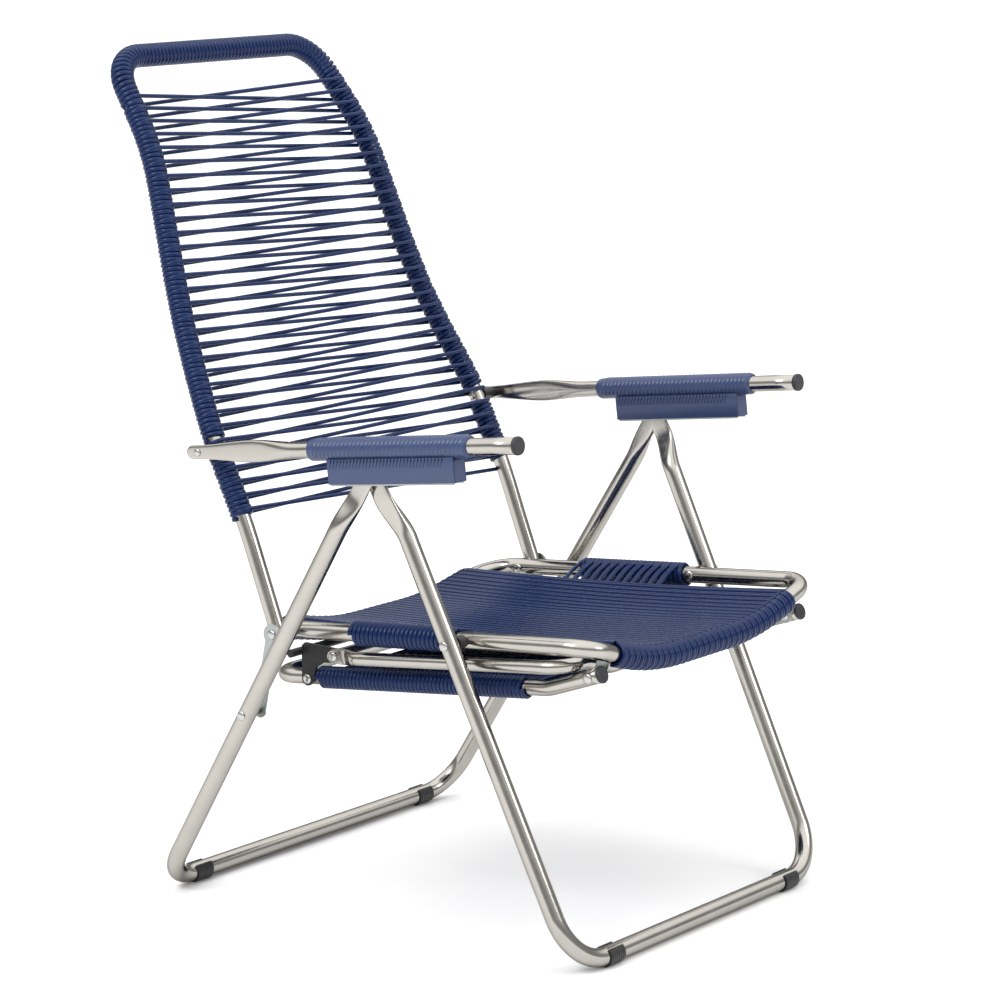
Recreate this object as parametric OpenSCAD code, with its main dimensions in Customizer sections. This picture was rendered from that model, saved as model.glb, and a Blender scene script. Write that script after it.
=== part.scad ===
// Folding high-back beach chair: steel tube frames wound with cord, with armrests and a stowed footrest.
// The front of the chair faces -Y, +X is the sitter's left, and the floor is the plane Z = 0.
// Lengths along Y are measured from a reference line; placed() then centres the footprint on the origin.

/* [Tubes] */
// Radius of the leg tubes
leg_r = 11; // [8:0.5:14]
// Radius of the seat frame tube
seat_r = 10.5; // [8:0.5:13]
// Radius of the backrest tube
back_r = 10; // [8:0.5:13]
// Radius of the armrest tubes
arm_r = 10; // [8:0.5:13]
// Radius of the footrest tube
foot_r = 9.5; // [7:0.5:12]
// Radius of the footrest's prop tube
prop_r = 8.5; // [6:0.5:11]
// Thickness of one layer of wound cord
cord_t = 3; // [2:0.5:5]
// Thickness of the cord on the top bar of the backrest
top_cord_t = 5; // [3:0.5:6]

/* [Side to side] */
// Half the distance between the front legs at the floor
front_x = 257.5; // [240:0.5:280]
// Half the distance between the rear legs at the floor
rear_x = 284.5; // [265:0.5:305]
// How much farther apart the front legs are at their necks, on each side
front_splay = 12; // [0:1:20]
// How much farther apart the rear legs are at their necks, on each side
rear_splay = 13.5; // [0:0.5:20]
// Half the distance between the seat rails
seat_x = 232; // [200:1:260]
// Half the distance between the lower ends of the backrest tube
back_x = 255.5; // [225:0.5:285]
// Half the distance between the armrests
arm_x = 288.5; // [258:0.5:318]
// Half the distance between the footrest's side tubes
foot_x = 208; // [180:1:220]
// Half the distance between the prop's side tubes
prop_x = 233; // [200:1:250]

/* [Seat] */
// Distance of the front seat bar in front of the reference line
seat_front = 371; // [340:1:400]
// Distance of the rear seat bar behind the reference line
seat_rear = 119; // [80:1:160]
// Height of the seat rails at the backrest pivot
seat_z = 346.2; // [300:0.1:400]
// Rise of the seat rails per millimetre towards the front
seat_slope = 0.0845; // [0:0.0005:0.2]
// Sag of the front bar at the middle
front_sag = 37; // [0:1:45]
// Sag of the rear bar at the middle
rear_sag = 29; // [0:1:40]

/* [Pivots, as distance behind the reference line and height] */
// Apex of the legs, inside the armrest housing
apex = [-101, 562]; // [-200:1:700]
// Seat rail on the front leg
front_pivot = [-200, 370]; // [-300:0.5:700]
// Seat rail, link and backrest
back_pivot = [69, 345.1]; // [0:0.1:700]
// Link on the rear leg
link_pivot = [89.5, 248.9]; // [0:0.1:400]
// Armrest on the backrest
arm_pivot = [162.6, 560]; // [100:0.1:700]
// Footrest on the front of the seat
foot_pivot = [-361, 344.1]; // [-400:0.1:400]
// Prop on the footrest bracket
prop_pivot = [9, 319]; // [-50:1:400]
// Bracket on the footrest tube
bracket_pivot = [53, 284.5]; // [0:0.1:400]

/* [Armrests] */
// Upward tilt of the armrests towards the front, in degrees
arm_tilt = 6.92; // [0:0.02:15]
// Length from the armrest pivot to the front end of the tube
arm_len = 479; // [400:1:550]
// Where the grip starts and ends, from the armrest pivot
grip_span = [178, 415]; // [100:1:500]
// Where the housing starts and ends, from the armrest pivot
housing_span = [208, 395]; // [100:1:500]
// Radius of the plastic grip
grip_r = 14; // [11:0.5:16]
// Half the width of the housing
housing_half = 11; // [9:0.5:14]
// Depth of the housing below the middle of the armrest tube
housing_depth = 40; // [30:1:60]

/* [Small parts] */
// Radius of the rivet shanks
rivet_r = 4; // [2:0.5:5]
// Radius of the rivet heads
head_r = 7; // [5:0.5:9]
// Height of the rivet heads
head_h = 2.4; // [1:0.1:4]
// Radial running clearance of the rivets in their holes
fit = 0.06; // [0.02:0.01:0.1]
// Wall of the plastic foot clips
clip_wall = 2; // [1:0.5:4]
// Length of the plastic foot clips
clip_len = 28; // [20:1:60]

/* [Hidden] */
$fn = 48;
lap_len = 0.8;
elbow_slack = 0.05;
edge_slack = 0.6;
neck_step = 1.2;
seam_turn = 100;
slit = 0.1;
big = 1200;
mid_y = 7.9;
pad_cut = 0.3;
floor_z = leg_r + clip_wall - pad_cut;
front_foot = [-372.5, floor_z];
rear_foot = [234, floor_z];
front_bend = 62;
rear_bend = 50;
front_neck = [-142, 490];
rear_neck = [-60.5, 493];
front_sag_x = 110;
rear_sag_x = 85;
wrap_half = 181;
flat_t = 5;
flat_r = 11.5;
flat_len = 34;
front_flat_x = 283.5;
rear_flat_x = 291.5;
front_clip_x = 186;
rear_clip_x = 222;
seat_wrap_r = seat_r + cord_t - 0.5;
back_wrap_r = back_r + cord_t;
foot_wrap_r = foot_r + cord_t;
back_low = [64, 332];
back_knee = [118, 470];
back_taper = [170, 575];
back_mid = [238, 700];
back_neck = [308, 905];
back_top = [388, 1015.5];
back_mid_x = 231;
back_neck_x = 203;
back_top_x = 187;
back_taper_x = 256;
wrap_low_z = 478;
wrap_gap = [546, 574];
side_wrap_y = [-193, -30];
foot_front = [-372.5, 348.7];
foot_knee = [-300, 322.5];
foot_back = [119, 277.5];
foot_wrap_y = [-271, 42];
prop_front = [-337, 356];
prop_dip = 15;
prop_dip_x = [140, 190];
link_x = 266.2;
link_t = 2;
plate_x = 193.5;
plate_t = 2;
bracket_x = 218;
bracket_t = 4;
prop_flat_t = 4.4;
prop_flat_x = bracket_x + bracket_t + slit + prop_flat_t / 2;
bar_pos = [68, 316];
bar_r = 5;
panel_t = 5;
tip_t = 6;
tip_r = 8.5;
tip_over = 9;
flare = 90;
round_at = 150;

// ---------- vectors ----------
function unit(v) = v / norm(v);
function at(x, p) = [x, p[0], p[1]];
function rail_z(y) = seat_z + (back_pivot[0] - y) * seat_slope;
function front_leg_x(z) = front_x + front_splay * (z - front_foot[1]) / (front_neck[1] - front_foot[1]);
function rear_leg_x(z) = rear_x + rear_splay * (z - rear_foot[1]) / (rear_neck[1] - rear_foot[1]);
function bar_rise(x, sag, sag_x) = sag * max(0, x - sag_x) / (seat_x - sag_x);
function mirrored(pts) = [for (i = [len(pts) - 1:-1:0]) [-pts[i][0], pts[i][1], pts[i][2]]];
function turn(a, b, c) = acos(unit(b - a) * unit(c - b));

// ---------- general shapes ----------
// A straight round bar from p to q
module rod(p, q, r) {
  d = q - p;
  translate(p)
    rotate([0, acos(d[2] / norm(d)), atan2(d[1], d[0])])
      rotate([0, 0, seam_turn])
        cylinder(r = r, h = norm(d));
}

// The bend at the corner v of a pipe that comes from p and leaves towards q
module elbow(p, v, q, bend_r, r) {
  u = unit(v - p);
  w = unit(q - v);
  ang = acos(u * w);
  lap = lap_len / bend_r * 180 / PI;
  centre = v + unit(w - u) * bend_r / cos(ang / 2);
  e1 = unit(v - u * bend_r * tan(ang / 2) - centre);
  e3 = cross(e1, u);
  tilt = acos(max(-1, min(1, e3[2])));
  spin = atan2(e3[1], e3[0]);
  first = atan2(e1 * [-sin(spin), cos(spin), 0],
    e1 * [cos(tilt) * cos(spin), cos(tilt) * sin(spin), -sin(tilt)]);
  translate(centre)
    rotate([0, tilt, spin])
      rotate([0, 0, first - lap])
        rotate_extrude(angle = ang + 2 * lap)
          translate([bend_r, 0])
            circle(r = r - elbow_slack);
}

// A bent round bar through the points, with a bend radius at each
module pipe(pts, bends, r) {
  last = len(pts) - 1;
  setback = [for (i = [0:last]) (i == 0 || i == last) ? 0
    : bends[i] * tan(turn(pts[i - 1], pts[i], pts[i + 1]) / 2)];
  union() {
    for (i = [0:last - 1]) {
      d = unit(pts[i + 1] - pts[i]);
      rod(pts[i] + d * setback[i], pts[i + 1] - d * setback[i + 1], r);
    }
    for (i = [1:last - 1])
      elbow(pts[i - 1], pts[i], pts[i + 1], bends[i], r);
  }
}

// A closed bent ring through the points
module ring(pts, bends, r) {
  n = len(pts);
  setback = [for (i = [0:n - 1])
    bends[i] * tan(turn(pts[(i + n - 1) % n], pts[i], pts[(i + 1) % n]) / 2)];
  union() {
    for (i = [0:n - 1]) {
      j = (i + 1) % n;
      d = unit(pts[j] - pts[i]);
      rod(pts[i] + d * setback[i], pts[j] - d * setback[j], r);
    }
    for (i = [0:n - 1])
      elbow(pts[(i + n - 1) % n], pts[i], pts[(i + 1) % n], bends[i], r);
  }
}

// A bar along X from x0 to x1 at the side-view point p
module cross_bar(x0, x1, p, r) {
  translate(at(x0, p)) rotate([0, 90, 0]) cylinder(r = r, h = x1 - x0);
}

// A rivet along X whose shank runs from x0 to x1, with a coned head at each end
module rivet(x0, x1, p, inner_head = true, outer_head = true) {
  cross_bar(x0, x1, p, rivet_r);
  if (outer_head)
    translate(at(x1, p)) rotate([0, 90, 0]) cylinder(r1 = head_r, r2 = head_r * 0.6, h = head_h);
  if (inner_head)
    translate(at(x0, p)) rotate([0, -90, 0]) cylinder(r1 = head_r, r2 = head_r * 0.6, h = head_h);
}

// The same thing on both sides of the chair
module both() {
  children();
  mirror([1, 0, 0]) children();
}

// A flat bar that lies in the side view from p to q, with a round end at p
module flat_bar(x0, x1, p, q, r) {
  d = q - p;
  translate([x0, 0, 0])
    rotate([90, 0, 90])
      linear_extrude(height = x1 - x0)
        union() {
          translate(p) circle(r = r);
          translate(p)
            rotate(atan2(d[1], d[0]))
              translate([0, edge_slack - r])
                square([norm(d), 2 * (r - edge_slack)]);
        }
}

// ---------- legs ----------
// The flattened end of a tube: a flat bar round the pivot p, and a neck that opens into the round
// tube, which starts at the side-view point neck and runs on towards next
module flattened_end(flat_x, tube_x, p, neck, next, len, t, half_w, r) {
  d = unit(neck - p);
  w = unit(next - neck);
  q = p + d * len;
  flat_bar(flat_x - t / 2, flat_x + t / 2, p, q + d, half_w);
  hull() {
    translate(at(flat_x, q))
      rotate([atan2(d[1], d[0]), 0, 0])
        cube([t - 1, 0.5, 2 * (half_w - neck_step)], center = true);
    rod(at(tube_x, neck + w), at(tube_x, neck + 3 * w), r - neck_step, $fn = 32);
  }
}

// A whole leg frame: two flattened ends, two legs that splay upwards and the floor bar
module leg_frame(flat_x, foot_x, splay, neck, foot, bend_r) {
  neck_x = foot_x + splay;
  union() {
    pipe([at(neck_x, neck), at(foot_x, foot), at(-foot_x, foot), at(-neck_x, neck)],
      [0, bend_r, bend_r, 0], leg_r);
    both() flattened_end(flat_x, neck_x, apex, neck, foot, flat_len, flat_t, flat_r, leg_r);
  }
}

// A C-shaped clip round a floor bar, open at the top and flat where it rests on the floor
module clip(x, foot) {
  difference() {
    cross_bar(x - clip_len / 2, x + clip_len / 2, foot, leg_r + clip_wall);
    cross_bar(x - clip_len, x + clip_len, foot, leg_r + slit / 2);
    translate(at(x, foot) + [0, 0, leg_r + clip_wall])
      cube([2 * clip_len, leg_r * 1.2, 2 * leg_r], center = true);
    translate([x, foot[0], -leg_r]) cube([2 * clip_len, 2 * leg_r, 2 * leg_r], center = true);
  }
}

module front_leg_frame() color("silver") difference() {
  leg_frame(front_flat_x, front_x, front_splay, front_neck, front_foot, front_bend);
  cross_bar(-big, big, apex, rivet_r + fit);
  cross_bar(-big, big, front_pivot, rivet_r + fit);
}

module rear_leg_frame() color("silver") difference() {
  leg_frame(rear_flat_x, rear_x, rear_splay, rear_neck, rear_foot, rear_bend);
  cross_bar(-big, big, apex, rivet_r + fit);
  cross_bar(-big, big, link_pivot, rivet_r + fit);
}

module front_clip_left() color("black") clip(front_clip_x, front_foot);
module front_clip_right() color("black") clip(-front_clip_x, front_foot);
module rear_clip_left() color("black") clip(rear_clip_x, rear_foot);
module rear_clip_right() color("black") clip(-rear_clip_x, rear_foot);

module apex_pins() color("silver") both() cross_bar(281.4, 295.6, apex, rivet_r);

module seat_pivot_rivets() color("silver") both()
  rivet(seat_x - seat_r - slit, front_leg_x(front_pivot[1]) + leg_r, front_pivot);

module seat_pivot_spacers() color("black") both() difference() {
  cross_bar(seat_x + seat_r + slit, front_leg_x(front_pivot[1]) - leg_r - 2 * slit, front_pivot, 8);
  cross_bar(0, big, front_pivot, rivet_r + fit);
}

module link_rivets() color("silver") both()
  rivet(link_x + link_t + 2 * slit, rear_leg_x(link_pivot[1]) + leg_r, link_pivot, inner_head = false);

// ---------- seat ----------
seat_corner_f = [seat_x, -seat_front, rail_z(-seat_front)];
seat_corner_r = [seat_x, seat_rear, rail_z(seat_rear)];
seat_low_f = seat_corner_f[2] - front_sag;
seat_low_r = seat_corner_r[2] - rear_sag;
seat_half = [[rear_sag_x, seat_rear, seat_low_r], seat_corner_r, seat_corner_f,
  [front_sag_x, -seat_front, seat_low_f]];
seat_ring = concat(seat_half, mirrored(seat_half));
seat_bends = [350, 48, 30, 400, 400, 30, 48, 350];

module seat_sleeve() difference() {
  ring(seat_ring, seat_bends, seat_wrap_r);
  ring(seat_ring, seat_bends, seat_r + slit);
}

module seat_frame() color("silver") difference() {
  ring(seat_ring, seat_bends, seat_r);
  cross_bar(-big, big, front_pivot, rivet_r + fit);
  cross_bar(-big, big, back_pivot, rivet_r + fit);
}

module seat_wrap_front() color("midnightblue") intersection() {
  seat_sleeve();
  translate([-wrap_half, -big, 0]) cube([2 * wrap_half, big - seat_front + 30, big]);
}

module seat_wrap_rear() color("midnightblue") intersection() {
  seat_sleeve();
  translate([-wrap_half, seat_rear - 40, 0]) cube([2 * wrap_half, big, big]);
}

module side_wrap(x) intersection() {
  seat_sleeve();
  translate([x - 25, side_wrap_y[0], 0]) cube([50, side_wrap_y[1] - side_wrap_y[0], big]);
}

module seat_wrap_left() color("midnightblue") side_wrap(seat_x);
module seat_wrap_right() color("midnightblue") side_wrap(-seat_x);

// One convex strip of a sagging cord panel: x, y and height of its corners on two cross lines
module panel_strip(x_r, z_r, x_f, z_f, y_r, y_f, t) {
  hull() {
    for (i = [0, 1]) {
      translate([x_r[i], y_r, z_r[i]]) cube([0.5, 0.5, t]);
      translate([x_f[i], y_f, z_f[i]]) cube([0.5, 0.5, t]);
    }
  }
}

// A cord panel in three strips that follows the sag of the two seat bars, lifted above their middles
module sagging_panel(y_r, y_f, lift, edge, t) {
  span = seat_rear + seat_front;
  k_r = (seat_rear - y_r) / span;
  k_f = (seat_rear - y_f) / span;
  function mid(k) = seat_low_r + (seat_low_f - seat_low_r) * k + lift;
  function half(k) = rear_sag_x + (front_sag_x - rear_sag_x) * k;
  function side(k) = mid(k) + bar_rise(edge, rear_sag, rear_sag_x) * (1 - k)
    + bar_rise(edge, front_sag, front_sag_x) * k;
  panel_strip([-half(k_r), half(k_r)], [mid(k_r), mid(k_r)], [-half(k_f), half(k_f)],
    [mid(k_f), mid(k_f)], y_r, y_f, t);
  both() panel_strip([half(k_r), edge], [mid(k_r), side(k_r)], [half(k_f), edge],
    [mid(k_f), side(k_f)], y_r, y_f, t);
}

module seat_strands() color("navy")
  sagging_panel(seat_rear - seat_wrap_r - 0.8, -seat_front + seat_wrap_r + 0.3, 8, wrap_half, panel_t);

module seat_cross_cords() color("navy")
  sagging_panel(side_wrap_y[1], side_wrap_y[0], -1.5, 217, 3);

module footrest_hinge_plates() color("lightgray") both() difference() {
  bar = [-seat_front, seat_low_f + bar_rise(plate_x, front_sag, front_sag_x)];
  flat_bar(plate_x, plate_x + plate_t, foot_pivot, bar + unit(foot_pivot - bar) * 9.7, 9);
  cross_bar(0, big, foot_pivot, rivet_r + fit);
  ring(seat_ring, seat_bends, seat_r + slit / 2);
}

module back_pivot_rivets() color("silver") both()
  rivet(seat_x - seat_r - 5 * slit, link_x + link_t + slit, back_pivot);

module back_pivot_washers() color("black") both() difference() {
  cross_bar(seat_x + seat_r + slit, back_x - back_r - slit, back_pivot, 9);
  cross_bar(0, big, back_pivot, rivet_r + fit);
}

// ---------- links ----------
module link() difference() {
  union() {
    cross_bar(link_x, link_x + link_t, back_pivot, 13);
    flat_bar(link_x, link_x + link_t, link_pivot, back_pivot, 9);
    cross_bar(link_x - head_h, link_x + link_t, link_pivot, head_r);
  }
  cross_bar(0, big, back_pivot, rivet_r + fit);
}

module link_left() color("lightgray") link();
module link_right() color("lightgray") mirror([1, 0, 0]) link();

// ---------- backrest ----------
back_half = [at(back_x, back_low), at(back_x, back_knee), at(back_taper_x, back_taper),
  at(back_mid_x, back_mid), at(back_neck_x, back_neck), at(back_top_x, back_top)];
back_path = concat(back_half, mirrored(back_half));
back_bends = [0, 500, 400, 700, 300, 52, 52, 300, 700, 400, 500, 0];

module back_sleeve(r) difference() {
  pipe(back_path, back_bends, r);
  pipe(back_path, back_bends, back_r + slit);
}

module back_frame() color("silver") difference() {
  pipe(back_path, back_bends, back_r);
  cross_bar(-big, big, back_pivot, rivet_r + fit);
  cross_bar(-big, big, arm_pivot, rivet_r + fit);
}

module back_wrap_top() color("midnightblue") intersection() {
  back_sleeve(back_r + top_cord_t);
  translate([-big, 0, 960]) cube([2 * big, big, big]);
}

module back_side_wrap(x) intersection() {
  back_sleeve(back_wrap_r);
  union() {
    translate([x - 100, 0, wrap_low_z]) cube([200, big, wrap_gap[0] - wrap_low_z]);
    translate([x - 100, 0, wrap_gap[1]]) cube([200, big, 959.9 - wrap_gap[1]]);
  }
}

module back_wrap_left() color("midnightblue") back_side_wrap(back_mid_x);
module back_wrap_right() color("midnightblue") back_side_wrap(-back_mid_x);

// The side view of the strung part, cut to the taper of the frame
module back_strands() color("navy") intersection() {
  rotate([90, 0, 90])
    linear_extrude(height = 2 * back_x, center = true)
      polygon([[124, 486], [170, 575], [238, 700], [272, 800], [308, 900], [341, 945],
        [345, 942], [312, 897], [277, 798], [243, 697], [175, 572], [129, 483]]);
  rotate([90, 0, 0])
    linear_extrude(height = 2 * big, center = true)
      polygon([[-241, 470], [-241, 570], [-217, 700], [-189, 900], [-181, 960],
        [181, 960], [189, 900], [217, 700], [241, 570], [241, 470]]);
}

// ---------- armrests ----------
module arm_spacers() color("black") both() difference() {
  cross_bar(back_x + back_r + 0.4, arm_x - tip_t / 2 - slit, arm_pivot, 7.5);
  cross_bar(0, big, arm_pivot, rivet_r + fit);
}

module arm_rivets() color("silver") both()
  rivet(back_x - back_r - 0.4, arm_x + tip_t / 2 + slit, arm_pivot);

// Moves a shape from the armrest's own frame, whose +Y runs forward along the tube, to its place
module on_arm() {
  translate(at(0, arm_pivot)) rotate([-arm_tilt, 0, 0]) mirror([0, 1, 0]) children();
}

module arm_tube() difference() {
  on_arm() {
    translate([arm_x, round_at, 0]) rotate([-90, 0, 0]) cylinder(r = arm_r, h = arm_len - round_at);
    hull() {
      translate([arm_x, round_at + 1, 0]) rotate([90, 0, 0]) cylinder(r = arm_r, h = 1, $fn = 32);
      translate([arm_x, flare, 0]) cube([9, 1, 26], center = true);
    }
    hull() {
      translate([arm_x, flare, 0]) cube([9, 1, 26], center = true);
      translate([arm_x, 6, 0]) cube([tip_t, 1, 2 * tip_r], center = true);
    }
    translate([arm_x - tip_t / 2, -tip_over, 0]) rotate([0, 90, 0]) cylinder(r = tip_r, h = tip_t);
    translate([arm_x, 3 - tip_over / 2, 0]) cube([tip_t, 6 + tip_over, 2 * tip_r], center = true);
  }
  cross_bar(0, big, arm_pivot, rivet_r + fit);
}

module arm_grip() on_arm() difference() {
  translate([arm_x, grip_span[0], 0])
    rotate([-90, 0, 0])
      cylinder(r = grip_r, h = grip_span[1] - grip_span[0]);
  translate([arm_x, 0, 0]) rotate([-90, 0, 0]) cylinder(r = arm_r + slit, h = arm_len);
}

module arm_housing() on_arm() difference() {
  translate([arm_x - housing_half, housing_span[0], -housing_depth])
    cube([2 * housing_half, housing_span[1] - housing_span[0], housing_depth - 6]);
  translate([arm_x - housing_half + 1.5, housing_span[0] + 2, -housing_depth - 1])
    cube([2 * housing_half - 3, housing_span[1] - housing_span[0] - 4, housing_depth - grip_r + 0.8]);
  translate([arm_x, 0, 0]) rotate([-90, 0, 0]) cylinder(r = grip_r + slit, h = arm_len);
}

module arm_rail() on_arm() difference() {
  translate([arm_x - housing_half + 1.6, housing_span[0] + 2.1, -housing_depth - 2])
    cube([2 * housing_half - 3.2, housing_span[1] - housing_span[0] - 4.2, housing_depth + 2 - grip_r - 0.3]);
  translate([arm_x - housing_half + 2.8, 0, -housing_depth - 3])
    cube([2 * housing_half - 5.6, big, housing_depth + 3 - grip_r - 1.5]);
}

module arm_cap() on_arm()
  translate([arm_x, arm_len + slit / 2, 0]) rotate([-90, 0, 0]) cylinder(r = arm_r + 0.8, h = 5);

module arm_tube_left() color("silver") arm_tube();
module arm_grip_left() color("slateblue") arm_grip();
module arm_housing_left() color("slateblue") arm_housing();
module arm_rail_left() color("silver") arm_rail();
module arm_cap_left() color("dimgray") arm_cap();
module arm_tube_right() color("silver") mirror([1, 0, 0]) arm_tube();
module arm_grip_right() color("slateblue") mirror([1, 0, 0]) arm_grip();
module arm_housing_right() color("slateblue") mirror([1, 0, 0]) arm_housing();
module arm_rail_right() color("silver") mirror([1, 0, 0]) arm_rail();
module arm_cap_right() color("dimgray") mirror([1, 0, 0]) arm_cap();

// ---------- footrest ----------
foot_half = [at(foot_x, foot_front), at(foot_x, foot_knee), at(foot_x, foot_back)];
foot_path = concat(foot_half, mirrored(foot_half));
foot_bends = [0, 60, 38, 38, 60, 0];

module footrest_frame() color("silver") difference() {
  pipe(foot_path, foot_bends, foot_r);
  cross_bar(-big, big, foot_pivot, rivet_r + fit);
  cross_bar(-big, big, bracket_pivot, rivet_r + fit);
}

module foot_wrap(x) intersection() {
  difference() {
    pipe(foot_path, foot_bends, foot_wrap_r);
    pipe(foot_path, foot_bends, foot_r + slit);
  }
  translate([x - 25, foot_wrap_y[0], 0]) cube([50, foot_wrap_y[1] - foot_wrap_y[0], big]);
}

module footrest_wrap_left() color("midnightblue") foot_wrap(foot_x);
module footrest_wrap_right() color("midnightblue") foot_wrap(-foot_x);

module footrest_strands() color("navy") {
  width = 2 * (foot_x - foot_wrap_r) - 2;
  span = foot_wrap_y[1] - foot_wrap_y[0];
  slope = atan2(foot_back[1] - foot_knee[1], foot_back[0] - foot_knee[0]);
  translate(at(0, foot_knee))
    rotate([slope, 0, 0])
      translate([-width / 2, foot_wrap_y[0] - foot_knee[0], -4])
        cube([width, span, 8]);
}

module footrest_caps() color("dimgray") both() {
  d = unit(foot_front - foot_knee);
  rod(at(foot_x, foot_front + d * slit / 2), at(foot_x, foot_front + d * 4), foot_r + 0.8);
}

module footrest_hinge_rivets() color("silver") both()
  rivet(plate_x - slit, foot_x + foot_r, foot_pivot);

module bracket() difference() {
  translate([bracket_x, 0, 0])
    rotate([90, 0, 90])
      linear_extrude(height = bracket_t)
        union() {
          translate(bracket_pivot) circle(r = 8.5);
          translate(prop_pivot) circle(r = 9);
          polygon([[61.5, 284], [61.5, 325], [57, 329], [9, 328], [0.5, 321], [4, 311], [28, 308],
            [39, 301], [44.5, 284]]);
        }
  cross_bar(0, big, bracket_pivot, rivet_r + fit);
  cross_bar(0, big, prop_pivot, rivet_r + fit);
}

module bracket_left() color("black") bracket();
module bracket_right() color("black") mirror([1, 0, 0]) bracket();

module bracket_bar() color("black") cross_bar(-236, 236, bar_pos, bar_r);

module bracket_rivets() color("silver") both()
  rivet(foot_x - foot_r, bracket_x + bracket_t, bracket_pivot);

module prop_frame() color("silver") difference() {
  union() {
    neck = prop_pivot + unit(prop_front - prop_pivot) * 46;
    half = [at(prop_x, neck), at(prop_x, prop_front), at(prop_dip_x[1], prop_front),
      at(prop_dip_x[0], prop_front - [0, prop_dip])];
    pipe(concat(half, mirrored(half)), [0, 30, 40, 40, 40, 40, 30, 0], prop_r);
    both()
      flattened_end(prop_flat_x, prop_x, prop_pivot, neck, prop_front, 16, prop_flat_t, 9, prop_r);
  }
  cross_bar(-big, big, prop_pivot, rivet_r + fit);
}

module prop_rivets() color("silver") both()
  rivet(bracket_x, bracket_x + bracket_t + 4.5, prop_pivot);

// Moves a part from the reference line to its place, so that the footprint is centred on the origin
module placed() translate([0, -mid_y, 0]) children();

placed() front_leg_frame();
placed() front_clip_left();
placed() front_clip_right();
placed() apex_pins();
placed() seat_pivot_rivets();
placed() seat_pivot_spacers();
placed() rear_leg_frame();
placed() rear_clip_left();
placed() rear_clip_right();
placed() link_rivets();
placed() seat_frame();
placed() seat_wrap_front();
placed() seat_wrap_rear();
placed() seat_wrap_left();
placed() seat_wrap_right();
placed() seat_strands();
placed() seat_cross_cords();
placed() footrest_hinge_plates();
placed() back_pivot_rivets();
placed() back_pivot_washers();
placed() link_left();
placed() link_right();
placed() back_frame();
placed() back_wrap_top();
placed() back_wrap_left();
placed() back_wrap_right();
placed() back_strands();
placed() arm_spacers();
placed() arm_rivets();
placed() arm_tube_left();
placed() arm_grip_left();
placed() arm_housing_left();
placed() arm_rail_left();
placed() arm_cap_left();
placed() arm_tube_right();
placed() arm_grip_right();
placed() arm_housing_right();
placed() arm_rail_right();
placed() arm_cap_right();
placed() footrest_frame();
placed() footrest_wrap_left();
placed() footrest_wrap_right();
placed() footrest_strands();
placed() footrest_caps();
placed() footrest_hinge_rivets();
placed() bracket_left();
placed() bracket_right();
placed() bracket_bar();
placed() bracket_rivets();
placed() prop_frame();
placed() prop_rivets();
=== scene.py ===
import math

import bpy
import numpy as np
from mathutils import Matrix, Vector


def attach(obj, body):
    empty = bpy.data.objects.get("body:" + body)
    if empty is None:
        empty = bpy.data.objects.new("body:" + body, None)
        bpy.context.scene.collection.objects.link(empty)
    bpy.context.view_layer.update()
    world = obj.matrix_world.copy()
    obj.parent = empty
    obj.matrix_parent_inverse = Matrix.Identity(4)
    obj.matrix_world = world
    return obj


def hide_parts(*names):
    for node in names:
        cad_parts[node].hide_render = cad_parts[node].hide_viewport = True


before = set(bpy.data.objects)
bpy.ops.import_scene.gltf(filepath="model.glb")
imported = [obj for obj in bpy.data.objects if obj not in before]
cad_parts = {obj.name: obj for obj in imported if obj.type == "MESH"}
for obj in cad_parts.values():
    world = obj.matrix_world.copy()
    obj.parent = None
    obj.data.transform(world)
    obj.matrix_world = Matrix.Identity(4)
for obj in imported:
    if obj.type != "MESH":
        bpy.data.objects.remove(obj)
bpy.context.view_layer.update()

# ---------- sizes, in millimetres, the same as the CAD part's ----------
MID_Y = 7.9
LEG_R, SEAT_R, BACK_R, ARM_R, FOOT_R, PROP_R = 11.0, 10.5, 10.0, 10.0, 9.5, 8.5
APEX, ARM_PIVOT, BACK_PIVOT = (-101.0, 562.0), (162.6, 560.0), (69.0, 345.1)
FRONT_PIVOT, LINK_PIVOT, FOOT_PIVOT = (-200.0, 370.0), (89.5, 248.9), (-361.0, 344.1)
PROP_PIVOT, BRACKET_PIVOT = (9.0, 319.0), (53.0, 284.5)
FOOT_FRONT, FOOT_KNEE, FOOT_BACK = (-372.5, 348.7), (-300.0, 322.5), (119.0, 277.5)
FOOT_WRAP = (-269.0, 40.0)
ARM_X, ARM_TILT, ARM_LEN = 288.5, math.radians(6.92), 479.0
ARM_TIP_R, ARM_TIP_OVER = 8.5, 9.0
SEAT_X, SEAT_FRONT, SEAT_REAR = 232.0, 371.0, 119.0
RAIL_Z, RAIL_SLOPE = 346.2, 0.0845
FRONT_SAG, REAR_SAG, FRONT_SAG_X, REAR_SAG_X = 37.0, 29.0, 110.0, 85.0
WRAP_HALF = 179.0
FOOT_X, PROP_X = 208.0, 233.0
PROP_FRONT, PROP_DIP, PROP_NECK_LEN = (-337.0, 356.0), 15.0, 46.0
# Cords: the strung ones, which lie in pairs on the seat, and the turns wound round the tubes
STRAND_R = 2.6
PAIR_PITCH, PAIR_STEP, PAIR_LIFT = 11.7, 5.8, 0.35
SEAT_CORD_W, SEAT_CORD_T = 2.9, 2.35
WRAP_PITCH = 5.9
SWELL_RUN = 75.0
SIDES = (("left", 1), ("right", -1))


def rail_z(y):
    """Height of the seat's side rails at a distance y from front to back."""
    return RAIL_Z + (BACK_PIVOT[0] - y) * RAIL_SLOPE


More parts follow.
